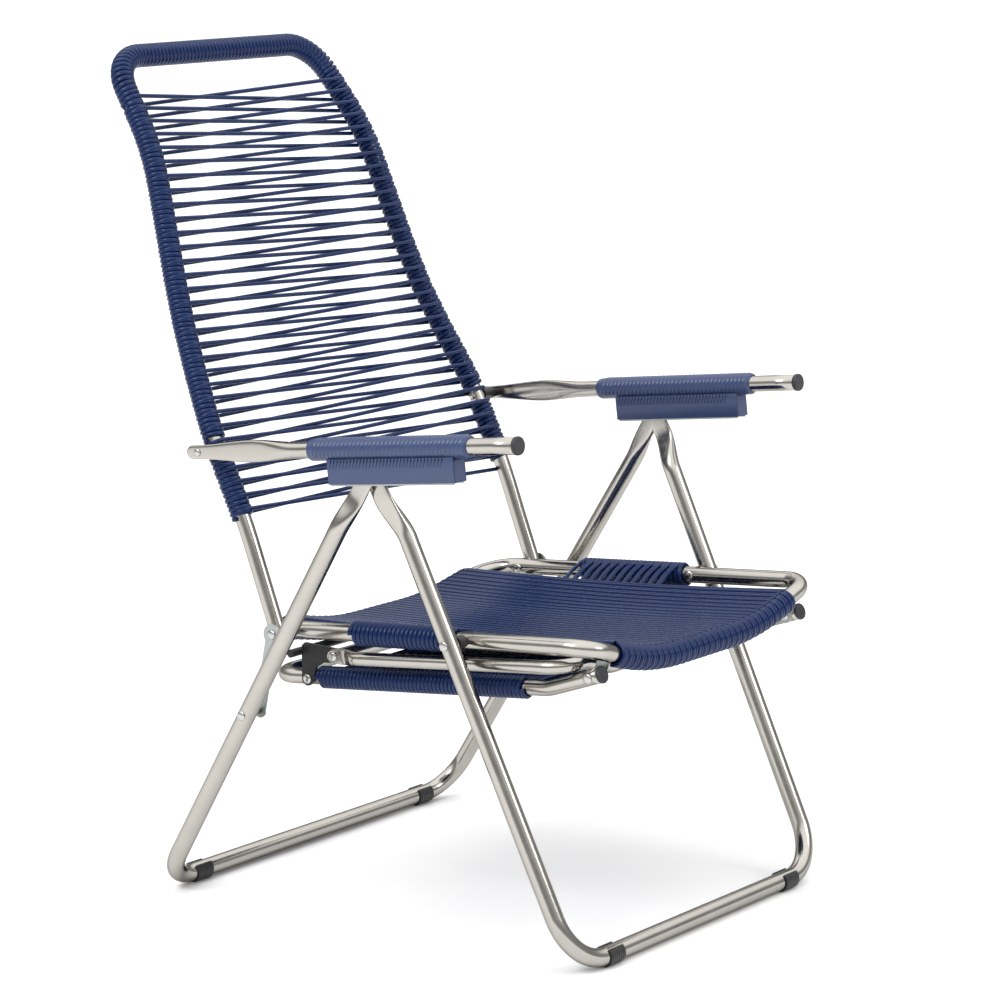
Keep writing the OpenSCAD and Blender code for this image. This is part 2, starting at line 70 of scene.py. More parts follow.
# ---------- materials ----------
# Scales of the noise, per metre: soft clouds on metal and plastic, and fine grain on metal
NOISE_DETAIL = 3.0
METAL_CLOUD, PLASTIC_CLOUD, METAL_GRAIN = 40.0, 60.0, 900.0
METAL_BUMP, PLASTIC_BUMP = 0.0001, 0.0002
PLASTIC_SPREAD = 0.05


def new_material(name, color, roughness, metallic=0.0):
    """A Principled material, its node tree and its shader."""
    material = bpy.data.materials.new(name)
    material.use_nodes = True
    shader = material.node_tree.nodes["Principled BSDF"]
    shader.inputs["Base Color"].default_value = (*color, 1)
    shader.inputs["Roughness"].default_value = roughness
    shader.inputs["Metallic"].default_value = metallic
    return material, material.node_tree, shader


def add_noise(tree, scale):
    """A noise texture in the object's own space."""
    place = tree.nodes.new("ShaderNodeTexCoord")
    noise = tree.nodes.new("ShaderNodeTexNoise")
    noise.inputs["Scale"].default_value = scale
    noise.inputs["Detail"].default_value = NOISE_DETAIL
    tree.links.new(place.outputs["Object"], noise.inputs["Vector"])
    return noise.outputs["Fac"]


def vary(tree, source, socket, low, high):
    """Spreads a 0 to 1 texture over low to high on a shader's socket."""
    spread = tree.nodes.new("ShaderNodeMapRange")
    spread.inputs["From Min"].default_value = 0.3
    spread.inputs["From Max"].default_value = 0.7
    spread.inputs["To Min"].default_value = low
    spread.inputs["To Max"].default_value = high
    tree.links.new(source, spread.inputs["Value"])
    tree.links.new(spread.outputs["Result"], socket)


def add_bump(tree, shader, source, strength, distance):
    """Roughens a surface a little, by a 0 to 1 texture as its height."""
    bump = tree.nodes.new("ShaderNodeBump")
    bump.inputs["Strength"].default_value = strength
    bump.inputs["Distance"].default_value = distance
    tree.links.new(source, bump.inputs["Height"])
    tree.links.new(bump.outputs["Normal"], shader.inputs["Normal"])


def tint(tree, source, shader, dark, light):
    """Mixes two close colours by a texture, so that a surface isn't one flat tone."""
    mix = tree.nodes.new("ShaderNodeMix")
    mix.data_type = "RGBA"
    mix.inputs["A"].default_value = (*dark, 1)
    mix.inputs["B"].default_value = (*light, 1)
    tree.links.new(source, mix.inputs["Factor"])
    tree.links.new(mix.outputs["Result"], shader.inputs["Base Color"])


def metal(name, dark, light, roughness, spread, bump, edge=1.0):
    """A metal, whose reflections are dimmed to the share given as edge where they graze it."""
    material, tree, shader = new_material(name, light, roughness, 1.0)
    shader.inputs["Specular Tint"].default_value = (edge, edge, edge, 1)
    cloud = add_noise(tree, METAL_CLOUD)
    tint(tree, cloud, shader, dark, light)
    vary(tree, cloud, shader.inputs["Roughness"], roughness - spread, roughness + spread)
    add_bump(tree, shader, add_noise(tree, METAL_GRAIN), bump, METAL_BUMP)
    return material


def plastic(name, dark, light, roughness, grain, bump, shine=0.32):
    """A plastic with a fine grain. Its shine is the strength of its reflections."""
    material, tree, shader = new_material(name, light, roughness)
    cloud = add_noise(tree, PLASTIC_CLOUD)
    tint(tree, cloud, shader, dark, light)
    vary(tree, cloud, shader.inputs["Roughness"], roughness - PLASTIC_SPREAD, roughness + PLASTIC_SPREAD)
    add_bump(tree, shader, add_noise(tree, grain), bump, PLASTIC_BUMP)
    shader.inputs["Specular IOR Level"].default_value = shine
    return material


STEEL = metal("steel_tube", (0.39, 0.375, 0.345), (0.46, 0.44, 0.407),
              roughness=0.17, spread=0.04, bump=0.05, edge=0.45)
RIVET = metal("rivet_steel", (0.42, 0.42, 0.41), (0.52, 0.52, 0.51),
              roughness=0.25, spread=0.05, bump=0.08, edge=0.6)
ZINC = metal("zinc_plate", (0.29, 0.32, 0.31), (0.43, 0.46, 0.45),
             roughness=0.4, spread=0.08, bump=0.2)
CORD = plastic("cord", (0.002, 0.012, 0.062), (0.003, 0.018, 0.082),
               roughness=0.27, grain=700.0, bump=0.08, shine=0.24)
BLUE = plastic("blue_plastic", (0.028, 0.046, 0.115), (0.035, 0.056, 0.133),
               roughness=0.33, grain=1500.0, bump=0.1, shine=0.42)
BLACK = plastic("black_plastic", (0.012, 0.012, 0.013), (0.022, 0.022, 0.023),
                roughness=0.4, grain=900.0, bump=0.1)
GREY = plastic("grey_plastic", (0.022, 0.022, 0.025), (0.032, 0.032, 0.035),
               roughness=0.38, grain=900.0, bump=0.15)


# ---------- paths ----------
def unit(v):
    return v / np.linalg.norm(v)


def at(x, point):
    """A side-view point (y, z) at the sideways distance x, centred as the CAD part is."""
    return np.array([x, point[0] - MID_Y, point[1]], float)


def mirrored(points):
    """The points of the other half of a path, in the order that goes on from this half."""
    return [p * (-1, 1, 1) for p in reversed(points)]


def round_corners(points, bends, step=9.0, closed=False):
    """A dense path through the points, with each corner rounded to its bend radius."""
    count = len(points)
    path = []
    for i, corner in enumerate(points):
        if not closed and i in (0, count - 1):
            path.append([corner])
            continue
        before = unit(corner - points[i - 1])
        after = unit(points[(i + 1) % count] - corner)
        angle = math.acos(np.clip(before @ after, -1, 1))
        if angle < 1e-4:
            path.append([corner])
            continue
        setback = bends[i] * math.tan(angle / 2)
        centre = corner + unit(after - before) * bends[i] / math.cos(angle / 2)
        start = corner - before * setback - centre
        steps = max(3, int(math.degrees(angle) / 2.5))
        path.append([centre + start * math.cos(a) + before * bends[i] * math.sin(a)
                     for a in np.linspace(0, angle, steps)])
    dense = []
    for i, part in enumerate(path):
        dense.extend(part)
        if i == len(path) - 1 and not closed:
            break
        start, end = part[-1], path[(i + 1) % len(path)][0]
        steps = int(np.linalg.norm(end - start) / step) + 1
        dense.extend(start + (end - start) * k / steps for k in range(1, steps))
    if closed:
        dense.append(dense[0])
    dense = np.array(dense)
    keep = np.r_[True, np.linalg.norm(np.diff(dense, axis=0), axis=1) > 0.01]
    return dense[keep]


def directions(path):
    """Unit tangents, and two unit normals that don't twist along the path."""
    tangent = np.gradient(path, axis=0)
    tangent /= np.linalg.norm(tangent, axis=1)[:, None]
    side = np.array([1.0, 0, 0]) if abs(tangent[0][0]) < 0.9 else np.array([0, 1.0, 0])
    sides = []
    for t in tangent:
        side = unit(side - t * (side @ t))
        sides.append(side)
    sides = np.array(sides)
    return tangent, sides, np.cross(tangent, sides)


def lengths(path):
    """Distance along the path at each of its points."""
    return np.r_[0, np.cumsum(np.linalg.norm(np.diff(path, axis=0), axis=1))]


def follow(values, along, wanted):
    """Values of a path, such as its points, at the wanted distances along it."""
    return np.stack([np.interp(wanted, along, values[:, k]) for k in range(3)], axis=1)


def reach(path, axis, value, first=True):
    """Distance along the path where a coordinate first or last passes a value."""
    offset = path[:, axis] - value
    hits = np.nonzero(offset[:-1] * offset[1:] <= 0)[0]
    i = hits[0] if first else hits[-1]
    share = offset[i] / (offset[i] - offset[i + 1] or 1)
    along = lengths(path)
    return along[i] + share * (along[i + 1] - along[i])


# ---------- meshes ----------
# A wound cord: steps for each turn, how far it sinks into its tube, and its section
TURN_STEPS, TURN_SINK, TURN_POWER, CORD_SIDES = 26, 0.15, 2.3, 10
ROUND, BOXY = 2, 4
RIVET_SIDES = 28
SEAT_CORD_POWER = 2.2


def build(name, grids, material, body, slot, *replaced):
    """One smooth object from grids of rings. A grid is (rings, caps): an array of closed rings, and
    whether its ends are covered."""
    points, faces, start = [], [], 0
    for rings, caps in grids:
        rows, columns = rings.shape[:2]
        points.append(rings.reshape(-1, 3))
        index = start + np.arange(rows * columns).reshape(rows, columns)
        turned = np.roll(index, -1, axis=1)
        quads = np.stack([index[:-1], turned[:-1], turned[1:], index[1:]], axis=-1)
        faces.extend(quads.reshape(-1, 4).tolist())
        if caps:
            faces.append(index[0, ::-1].tolist())
            faces.append(index[-1].tolist())
        start += rows * columns
    mesh = bpy.data.meshes.new(name)
    mesh.from_pydata((np.concatenate(points) * 0.001).tolist(), [], faces)
    mesh.update()
    mesh.polygons.foreach_set("use_smooth", [len(f) == 4 for f in faces])
    mesh.materials.append(material)
    piece = bpy.data.objects.new(name, mesh)
    bpy.context.scene.collection.objects.link(piece)
    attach(piece, body)
    if replaced:
        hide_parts(*replaced)
    return piece


def superellipse(half_x, half_y, power, count):
    """A closed outline between an ellipse, at power 2, and a rounded rectangle."""
    turn = np.linspace(0, 2 * math.pi, count, endpoint=False)
    c, s = np.cos(turn), np.sin(turn)
    return (half_x * np.sign(c) * np.abs(c) ** (2 / power),
            half_y * np.sign(s) * np.abs(s) ** (2 / power))


def tube_rings(path, radius, count=32):
    """Rings of one round tube."""
    _, sides, ups = directions(path)
    u, v = superellipse(radius, radius, ROUND, count)
    return path[:, None] + sides[:, None] * u[:, None] + ups[:, None] * v[:, None]


def shaped_rings(path, half_side, half_up, power, count=40):
    """Rings of a tube whose section changes along the path."""
    _, sides, ups = directions(path)
    rings = []
    for point, side, up, a, b, n in zip(path, sides, ups, half_side, half_up, power):
        u, v = superellipse(a, b, n, count)
        rings.append(point + side * u[:, None] + up * v[:, None])
    return np.array(rings)


def winding_rings(path, start, end, tube_r, half_w, half_t, pitch=WRAP_PITCH, swell=0.0):
    """Rings of a cord wound round a tube from one distance along its path to another. The cord may
    swell away from both ends."""
    along = lengths(path)
    tangent, sides, ups = directions(path)
    turns = max(1, round((end - start) / pitch))
    wanted = np.linspace(start, end, turns * TURN_STEPS + 1)
    t, s, u = (follow(v, along, wanted) for v in (tangent, sides, ups))
    turn = 2 * math.pi * np.linspace(0, turns, len(wanted))
    out = s * np.cos(turn)[:, None] + u * np.sin(turn)[:, None]
    out /= np.linalg.norm(out, axis=1)[:, None]
    from_end = np.minimum(wanted - start, end - wanted)
    half = (half_t + swell * smooth_blend(from_end / SWELL_RUN))[:, None]
    centre = follow(path, along, wanted) + out * (tube_r + half - TURN_SINK)
    a, b = superellipse(half_w, 1.0, TURN_POWER, CORD_SIDES)
    return centre[:, None] + t[:, None] * a[:, None] + out[:, None] * (half * b)[:, :, None]


def dome_grid(centre, axis, radius, height):
    """A domed rivet head on a flat face, whose middle and outward axis are given. The head has a
    straight rim, and its top is a small flat disc."""
    rim, top_angle = 0.25, math.pi / 2 * 0.94
    axis = unit(np.array(axis, float))
    side = unit(np.cross(axis, (0, 0, 1)))
    up = np.cross(axis, side)
    u, v = superellipse(1, 1, ROUND, RIVET_SIDES)
    circle = (side * u[:, None] + up * v[:, None]) * radius
    rings = [centre + circle]
    for angle in np.linspace(0, top_angle, 5):
        middle = centre + axis * height * (rim + (1 - rim) * math.sin(angle))
        rings.append(middle + circle * math.cos(angle))
    return np.array(rings), True


def rod_grid(start, end, radius):
    """A straight round bar."""
    return shaped_rings(np.array([start, end]), [radius] * 2, [radius] * 2, [ROUND] * 2, RIVET_SIDES), True


def on_side(rings, sign):
    """Rings as they are on the left side, or mirrored to the right side at -1."""
    return rings if sign > 0 else rings[:, ::-1] * (-1, 1, 1)


def both_sides(grid):
    """A grid and its mirror image."""
    rings, caps = grid
    return [(on_side(rings, sign), caps) for _, sign in SIDES]


def smooth_blend(value):
    """An eased step from 0 to 1."""
    value = np.clip(value, 0, 1)
    return value * value * (3 - 2 * value)


# How far back the rings of a rounded tip lie, in shares of its radius
TIP_SHARES = np.array([0.999, 0.96, 0.85, 0.68, 0.45, 0.22])


def flattened_end(flat_x, pivot, neck, tube_x, flat_len, flat_t, half_w, radius, bulge):
    """Path, half sizes and section powers from the round tip of a flattened tube end to its neck."""
    d = unit(neck - pivot)
    total = np.linalg.norm(neck - pivot)
    run = np.r_[-half_w * TIP_SHARES, np.linspace(0, flat_len, 6), np.linspace(flat_len, total, 14)[1:]]
    share = smooth_blend((run - flat_len) / (total - flat_len))
    width = np.sqrt(np.maximum(half_w ** 2 - np.minimum(run, 0) ** 2, 0.3))
    width = width + bulge * np.sin(math.pi * np.clip(run / total, 0, 1))
    xs = flat_x + (tube_x - flat_x) * share
    side = pivot + d * run[:, None]
    path = np.array([at(x, p) for x, p in zip(xs, side)])
    half_side = flat_t / 2 + (radius - flat_t / 2) * share
    half_up = width + (radius - width) * share
    return path, half_side, half_up, BOXY + (ROUND - BOXY) * share


def flat_ended_frame(points, bends, pivot, neck, flat_x, flat_len, flat_t, half_w, radius, bulge):
    """Rings of a U-shaped tube frame whose two ends are flattened round their pivots."""
    tip, half_side, half_up, power = flattened_end(
        flat_x, np.array(pivot), np.array(neck), points[0][0], flat_len, flat_t, half_w, radius, bulge)
    middle = round_corners(points, bends)[1:-1]
    path = np.concatenate([tip, middle, tip[::-1] * (-1, 1, 1)])
    flat = np.full(len(middle), radius)
    return shaped_rings(path, np.r_[half_side, flat, half_side[::-1]],
                        np.r_[half_up, flat, half_up[::-1]],
                        np.r_[power, np.full(len(middle), ROUND), power[::-1]]), True


# ---------- legs ----------
FRONT_NECK, REAR_NECK = (-142.0, 490.0), (-60.5, 493.0)
FRONT_FOOT, REAR_FOOT = (-372.5, 12.7), (234.0, 12.7)
FRONT_CLIP_X, REAR_CLIP_X = 186.0, 222.0


def leg_frame(name, foot_x, neck_x, neck, foot, bend_r, flat_x, bulge, body):
    """A U-bent tube from the apex on one side, round the floor bar, to the apex on the other."""
    points = [at(neck_x, neck), at(foot_x, foot), at(-foot_x, foot), at(-neck_x, neck)]
    rings = flat_ended_frame(points, [0, bend_r, bend_r, 0], APEX, neck, flat_x, flat_len=30, flat_t=5,
                             half_w=11.5, radius=LEG_R, bulge=bulge)
    build(name + "_tube", [rings], STEEL, body, "steel_tube", name)


leg_frame("front_leg_frame", foot_x=257.5, neck_x=269.5, neck=FRONT_NECK, foot=FRONT_FOOT, bend_r=62,
          flat_x=283.5, bulge=1.5, body="front_legs")
leg_frame("rear_leg_frame", foot_x=284.5, neck_x=298, neck=REAR_NECK, foot=REAR_FOOT, bend_r=50,
          flat_x=291.5, bulge=0.0, body="rear_legs")


def clip_piece(name, x, foot, body):
    """A ribbed C-shaped clip: an open ring section drawn along the floor bar, flat on the floor."""
    length, ribs, rib_rise, edge_cut = 28.0, 7, 0.35, 0.6
    inner, outer = LEG_R + 0.05, LEG_R + 1.7
    gap = math.radians(38)
    floor = -foot[1] + 0.05
    turn = np.linspace(math.pi / 2 + gap, math.pi * 2.5 - gap, 34)
    stations = np.linspace(-length / 2, length / 2, ribs * 8 + 1)
    rings = []
    for s in stations:
        rise = rib_rise * abs(math.sin(math.pi * s / length * ribs))
        r = outer + rise - (edge_cut if s in (stations[0], stations[-1]) else 0)
        ring = [(r * math.cos(a), r * math.sin(a)) for a in turn]
        ring += [(inner * math.cos(a), inner * math.sin(a)) for a in turn[::-1]]
        rings.append([at(x + s, (foot[0] + u, foot[1] + max(v, floor))) for u, v in ring])
    build(name + "_shell", [(np.array(rings), True)], BLACK, body, "black_plastic", name)


for side_name, sign in SIDES:
    clip_piece("front_clip_" + side_name, sign * FRONT_CLIP_X, FRONT_FOOT, "front_legs")
    clip_piece("rear_clip_" + side_name, sign * REAR_CLIP_X, REAR_FOOT, "rear_legs")


# ---------- seat ----------
FRONT_Z = rail_z(-SEAT_FRONT)
REAR_Z = rail_z(SEAT_REAR)
seat_half = [at(REAR_SAG_X, (SEAT_REAR, REAR_Z - REAR_SAG)), at(SEAT_X, (SEAT_REAR, REAR_Z)),
             at(SEAT_X, (-SEAT_FRONT, FRONT_Z)), at(FRONT_SAG_X, (-SEAT_FRONT, FRONT_Z - FRONT_SAG))]
seat_path = round_corners(seat_half + mirrored(seat_half), [350, 48, 30, 400, 400, 30, 48, 350],
                          closed=True)

# The seat's tube is a closed ring, so its rings end where they begin
build("seat_frame_tube", [(tube_rings(seat_path, SEAT_R), False)], STEEL, "seat", "steel_tube",
      "seat_frame")


def bar_height(y, xs):
    """Height of the front or rear seat bar's centre at each sideways distance."""
    near = np.abs(seat_path[:, 1] - (y - MID_Y)) < 3
    line = seat_path[near]
    order = np.argsort(line[:, 0])
    return np.interp(xs, line[order, 0], line[order, 2])


pair_count = int(WRAP_HALF / PAIR_PITCH)
strand_xs = np.array([i * PAIR_PITCH + step for i in range(-pair_count, pair_count + 1)
                      for step in (-PAIR_STEP / 2, PAIR_STEP / 2)])
lifts = np.tile([PAIR_LIFT, -PAIR_LIFT], len(strand_xs) // 2)
CORD_TOP = SEAT_R + 2.4


def loop_rings(x, y, z, slope, radius, outward):
    """Rings of one cord turn round a seat bar: from above it, outwards, under it and on until it
    tucks in below its own start."""
    side_drift, tuck = 1.2, 0.9
    turn = np.linspace(0, math.radians(395), 40)
    up = np.array([-math.sin(slope), 0, math.cos(slope)])
    along = np.array([math.cos(slope), 0, math.sin(slope)])
    out = np.array([0, outward, 0])
    centre = at(x, (y, z))
    drift = along * (turn / turn[-1] * side_drift)[:, None]
    spoke = up * np.cos(turn)[:, None] + out * np.sin(turn)[:, None]
    path = centre + drift + spoke * (radius - tuck * smooth_blend(turn / 6 - 0.2))[:, None]
    a, b = superellipse(SEAT_CORD_W, SEAT_CORD_T, SEAT_CORD_POWER, CORD_SIDES)
    return path[:, None] + along * a[:, None] + spoke[:, None] * b[:, None]


def bar_loops(y, outward):
    """The turns of all strung cords round the front or rear seat bar."""
    heights = bar_height(y, strand_xs)
    slopes = np.gradient(heights, strand_xs)
    return [(loop_rings(x, y, z, math.atan(k), CORD_TOP + lift, outward), True)
            for x, z, k, lift in zip(strand_xs, heights, slopes, lifts)]


build("seat_front_loops", bar_loops(-SEAT_FRONT, -1), CORD, "seat", "cord", "seat_wrap_front")
build("seat_rear_loops", bar_loops(SEAT_REAR, 1), CORD, "seat", "cord", "seat_wrap_rear")


def seat_strand(x, front, rear, lift):
    """A strung cord from the top of the front bar to the top of the rear bar, with a little slack."""
    count, slack = 9, 5.0
    run = np.linspace(0, 1, count)
    y = -SEAT_FRONT + (SEAT_REAR + SEAT_FRONT) * run
    z = front + (rear - front) * run + CORD_TOP + lift - slack * np.sin(math.pi * run)
    path = np.stack([np.full(count, x), y - MID_Y, z], axis=1)
    return shaped_rings(path, [SEAT_CORD_W] * count, [SEAT_CORD_T] * count, [SEAT_CORD_POWER] * count,
                        CORD_SIDES), False


build("seat_cords",
      [seat_strand(*v) for v in zip(strand_xs, bar_height(-SEAT_FRONT, strand_xs),
                                    bar_height(SEAT_REAR, strand_xs), lifts)],
      CORD, "seat", "cord", "seat_strands")

# ---------- cords across the seat and round its side rails ----------
SIDE_WRAP, END_MARGIN = (-193.0, -30.0), 3.0
CROSS_PITCH, CROSS_LIFT, CROSS_R, CROSS_LEAN = 13.0, 2.9, 2.4, 5.0

rail = np.array([at(SEAT_X, (y, rail_z(y))) for y in np.linspace(*SIDE_WRAP, 30)])
winding = winding_rings(rail, END_MARGIN, lengths(rail)[-1] - END_MARGIN, SEAT_R, half_w=3.15, half_t=2.5,
                        pitch=CROSS_PITCH / 2)
for side_name, sign in SIDES:
    build("seat_side_turns_" + side_name, [(on_side(winding, sign), True)], CORD, "seat", "cord",
          "seat_wrap_" + side_name)


def cross_cord(y, lean):
    """A cord from rail to rail, tight under the strung cords and up into each rail's turns. Its right
    end lies further forward than its left one by twice the lean."""
    k = (SEAT_REAR - y) / (SEAT_REAR + SEAT_FRONT)
    under_x = np.array([0.0, 50.0, 95.0, 140.0, 176.0])
    under = (1 - k) * bar_height(SEAT_REAR, under_x) + k * bar_height(-SEAT_FRONT, under_x) + CROSS_LIFT
    top = rail_z(y) + SEAT_R + 1.5
    half_x = np.r_[under_x, SEAT_X - 27.0, SEAT_X - SEAT_R + 0.5, SEAT_X]
    half_z = np.r_[under, top - 7.0, top - 1.0, top]
    xs = np.r_[-half_x[:0:-1], half_x]
    zs = np.r_[half_z[:0:-1], half_z]
    path = np.stack([xs, y - MID_Y + lean * xs / SEAT_X, zs], axis=1)
    fine = np.linspace(0, len(xs) - 1, 65)
    path = np.stack([np.interp(fine, range(len(xs)), path[:, i]) for i in range(3)], axis=1)
    return tube_rings(path, CROSS_R, CORD_SIDES), True


cross_ys = np.arange(SIDE_WRAP[0] + 12, SIDE_WRAP[1] - 6, CROSS_PITCH / 2)
build("seat_cross_cord_runs", [cross_cord(y, CROSS_LEAN * (-1) ** i) for i, y in enumerate(cross_ys)],
      CORD, "seat", "cord", "seat_cross_cords")

# ---------- backrest ----------
# Left half of the hoop: foot, knee, arm joint, shoulder, neck and top corner
back_half = [at(255.5, (64, 332)), at(255.5, (118, 470)), at(256, (170, 575)), at(231, (238, 700)),
             at(203, (308, 905)), at(187, (388, 1015.5))]
back_path = round_corners(back_half + mirrored(back_half),
                          [0, 500, 400, 700, 300, 52, 52, 300, 700, 400, 500, 0], step=6.0)
build("back_frame_tube", [(tube_rings(back_path, BACK_R), True)], STEEL, "backrest", "steel_tube",
      "back_frame")

# Heights where the side turns start, leave a gap for the armrest's rivet, and meet the top turns
WRAP_LOW_Z, GAP_LOW_Z, GAP_HIGH_Z, WRAP_HIGH_Z = 480, 550.5, 569.5, 958
back_wrap_low, back_gap_low, back_gap_high, back_wrap_high = (
    reach(back_path, 2, z) for z in (WRAP_LOW_Z, GAP_LOW_Z, GAP_HIGH_Z, WRAP_HIGH_Z))
back_along = lengths(back_path)
side_turns = [winding_rings(back_path, *span, BACK_R, half_w=2.9, half_t=2.2)
              for span in ((back_wrap_low, back_gap_low), (back_gap_high, back_wrap_high))]
top_turns = winding_rings(back_path, back_wrap_high, back_along[-1] - back_wrap_high, BACK_R, half_w=3.2,
                          half_t=2.2, pitch=6.6, swell=0.3)
for side_name, sign in SIDES:
    build("back_side_turns_" + side_name, [(on_side(t, sign), True) for t in side_turns], CORD,
          "backrest", "cord", "back_wrap_" + side_name)
build("back_top_turns", [(top_turns, True)], CORD, "backrest", "cord", "back_wrap_top")

# A strand leaves the front of one side tube and meets the back of the other
STRAND_LEVELS, STRAND_LOW_Z, STRAND_HIGH_Z = 31, 470, 964
strand_places = np.linspace(reach(back_path, 2, STRAND_LOW_Z), reach(back_path, 2, STRAND_HIGH_Z),
                            STRAND_LEVELS + 1)
back_tangent = directions(back_path)[0]


def strand_end(level, sign, facing):
    """The last turn of a strand before it leaves the front (1) or back (-1) of a side tube. It comes
    out from between the tube and its turns."""
    sunk = 1.4
    centre = follow(back_path, back_along, [strand_places[level]])[0]
    tangent = follow(back_tangent, back_along, [strand_places[level]])[0]
    front = unit(np.cross((1, 0, 0), tangent))
    front = front * facing if front[1] < 0 else -front * facing
    turn = np.linspace(math.radians(100), 0, 9)
    radius = BACK_R + STRAND_R - sunk * smooth_blend(turn / turn[0])
    points = centre + radius[:, None] * (front * np.cos(turn)[:, None]
                                         + np.array([1.0, 0, 0]) * np.sin(turn)[:, None])
    return points * (sign, 1, 1)


def back_strand(left_level, right_level, facing):
    """A strand whose right end is at the front (1) or back (-1) of its tube, and its left end at the
    other."""
    start = strand_end(right_level, -1, facing)
    end = strand_end(left_level, 1, -facing)[::-1]
    run = np.linspace(0, 1, 6)[1:-1, None]
    path = np.concatenate([start, start[-1] + (end[0] - start[-1]) * run, end])
    return tube_rings(path, STRAND_R, 12), True


strands = []
for level in range(1, STRAND_LEVELS + 1):
    strands.append(back_strand(level - 1, level, 1))
    strands.append(back_strand(level, level, -1))
build("back_cords", strands, CORD, "backrest", "cord", "back_strands")


# ---------- armrests ----------
def on_arm(x, run, rise):
    """A point given along the armrest from its pivot, and square to it."""
    y = -run * math.cos(ARM_TILT) + rise * math.sin(ARM_TILT)
    z = run * math.sin(ARM_TILT) + rise * math.cos(ARM_TILT)
    return at(x, (ARM_PIVOT[0] + y, ARM_PIVOT[1] + z))


def arm_tube_rings():
    """The armrest's tube: a flattened rear end that swells to a flare and then turns round."""
    flat_t, flare_w, flare_t = 3.0, 5.0, 1.5
    run = np.r_[-ARM_TIP_OVER - ARM_TIP_R * TIP_SHARES, np.linspace(-ARM_TIP_OVER, 160, 32),
                np.linspace(160, ARM_LEN, 12)[1:]]
    flare = smooth_blend(run / 90)
    to_round = smooth_blend((run - 85) / 70)
    thick = flat_t + flare_t * flare + (ARM_R - flat_t - flare_t) * to_round
    past = np.minimum(run + ARM_TIP_OVER, 0)
    width = np.sqrt(np.maximum(ARM_TIP_R ** 2 - past ** 2, 0.2)) + flare_w * flare
    width = width + (ARM_R - ARM_TIP_R - flare_w) * to_round
    path = np.array([on_arm(ARM_X, r, 0) for r in run])
    return shaped_rings(path, thick, width, BOXY + (ROUND - BOXY) * to_round), True


def grip_rings():
    """The ribbed sleeve: its ribs lean, and fade out near its rear end."""
    start, ribs_from, end, pitch = 178.0, 186.0, 415.0, 6.0
    grip_r, end_drop, end_run, rib_rise, rib_lean = 13.3, 2.8, 3.5, 1.1, 4.0
    run = np.r_[start, start + 0.6, start + 2, start + 4.5, np.arange(ribs_from, end - 2, 0.6),
                end - 1.2, end - 0.4, end]
    turn = np.linspace(0, 2 * math.pi, 44, endpoint=False)
    rings = []
    for r in run:
        ends = min(r - start, end - r)
        radius = grip_r - end_drop * (1 - min(1, ends / end_run)) ** 2
        phase = (r - rib_lean * np.sin(turn)) / pitch
        ridge = np.abs(np.sin(math.pi * phase)) ** 0.6
        fade = smooth_blend((r - ribs_from) / 4) * smooth_blend((end - r) / 4)
        not_below = smooth_blend((np.sin(turn) + 0.75) / 0.3)
        radii = radius + rib_rise * fade * ridge * not_below
        rings.append([on_arm(ARM_X + q * math.cos(t), r, q * math.sin(t)) for q, t in zip(radii, turn)])
    return np.array(rings), True


def housing_rings(profile, runs):
    """An outline across the housing, repeated at distances along the armrest."""
    return np.array([[on_arm(ARM_X + x, r, w) for x, w in profile] for r in runs])


def housing_grids():
    """A channel that is open below, with closed ends and a row of fine ribs on each side."""
    start, end, wall, rib_pitch = 208.0, 395.0, 1.6, 5.0
    outer = [(-10.6, -40), (-11, -39.6), (-11, -15), (-10.5, -11), (-8, -9.5), (8, -9.5),
             (10.5, -11), (11, -15), (11, -39.6), (10.6, -40)]
    inner = [(9.5, -40), (9.5, -14.6), (-9.5, -14.6), (-9.5, -40)]
    profile = outer + inner
    edge = np.array([0, 0.4, wall, wall + 0.01])
    grids = [(housing_rings(profile, np.r_[start + edge, end - edge[::-1]]), True)]
    plate = [(x * 0.97, w) for x, w in outer]
    for r in (start, end - wall):
        grids.append((housing_rings(plate, (r, r + wall)), True))
    # Each rib leans along the arm as it rises; its points are (sideways, along, up)
    rib_line = [(11.0, -1.6, -21.5), (11.2, -0.8, -18.5), (11.4, 0.6, -14.5), (11.6, 1.8, -10.5)]
    half_side, half_along = [0.3, 0.8, 0.9, 0.9], [0.8, 1.4, 1.4, 1.2]
    for r in np.arange(start + 4, end - 14, rib_pitch):
        for sign in (-1, 1):
            path = np.array([on_arm(ARM_X + sign * x, r + lean, w) for x, lean, w in rib_line])
            grids.append((shaped_rings(path, half_side, half_along, [ROUND] * 4, 8), True))
    return grids


def cap_grid():
    """The round cap on the armrest's front end, with eased edges."""
    run = ARM_LEN + np.array([0.05, 0.4, 3.6, 4.6, 5.05])
    radii = ARM_R + np.array([0.4, 0.8, 0.8, 0.3, -0.9])
    path = np.array([on_arm(ARM_X, r, 0) for r in run])
    return shaped_rings(path, radii, radii, [ROUND] * len(run)), True


arm_parts = {"tube": ([arm_tube_rings()], STEEL, "steel_tube"),
             "grip": ([grip_rings()], BLUE, "blue_plastic"),
             "housing": (housing_grids(), BLUE, "blue_plastic"),
             "cap": ([cap_grid()], GREY, "grey_plastic")}
for part, (grids, material, slot) in arm_parts.items():
    for side_name, sign in SIDES:
        build(f"armrest_{part}_{side_name}", [(on_side(rings, sign), caps) for rings, caps in grids],
              material, "armrest_" + side_name, slot, f"arm_{part}_{side_name}")

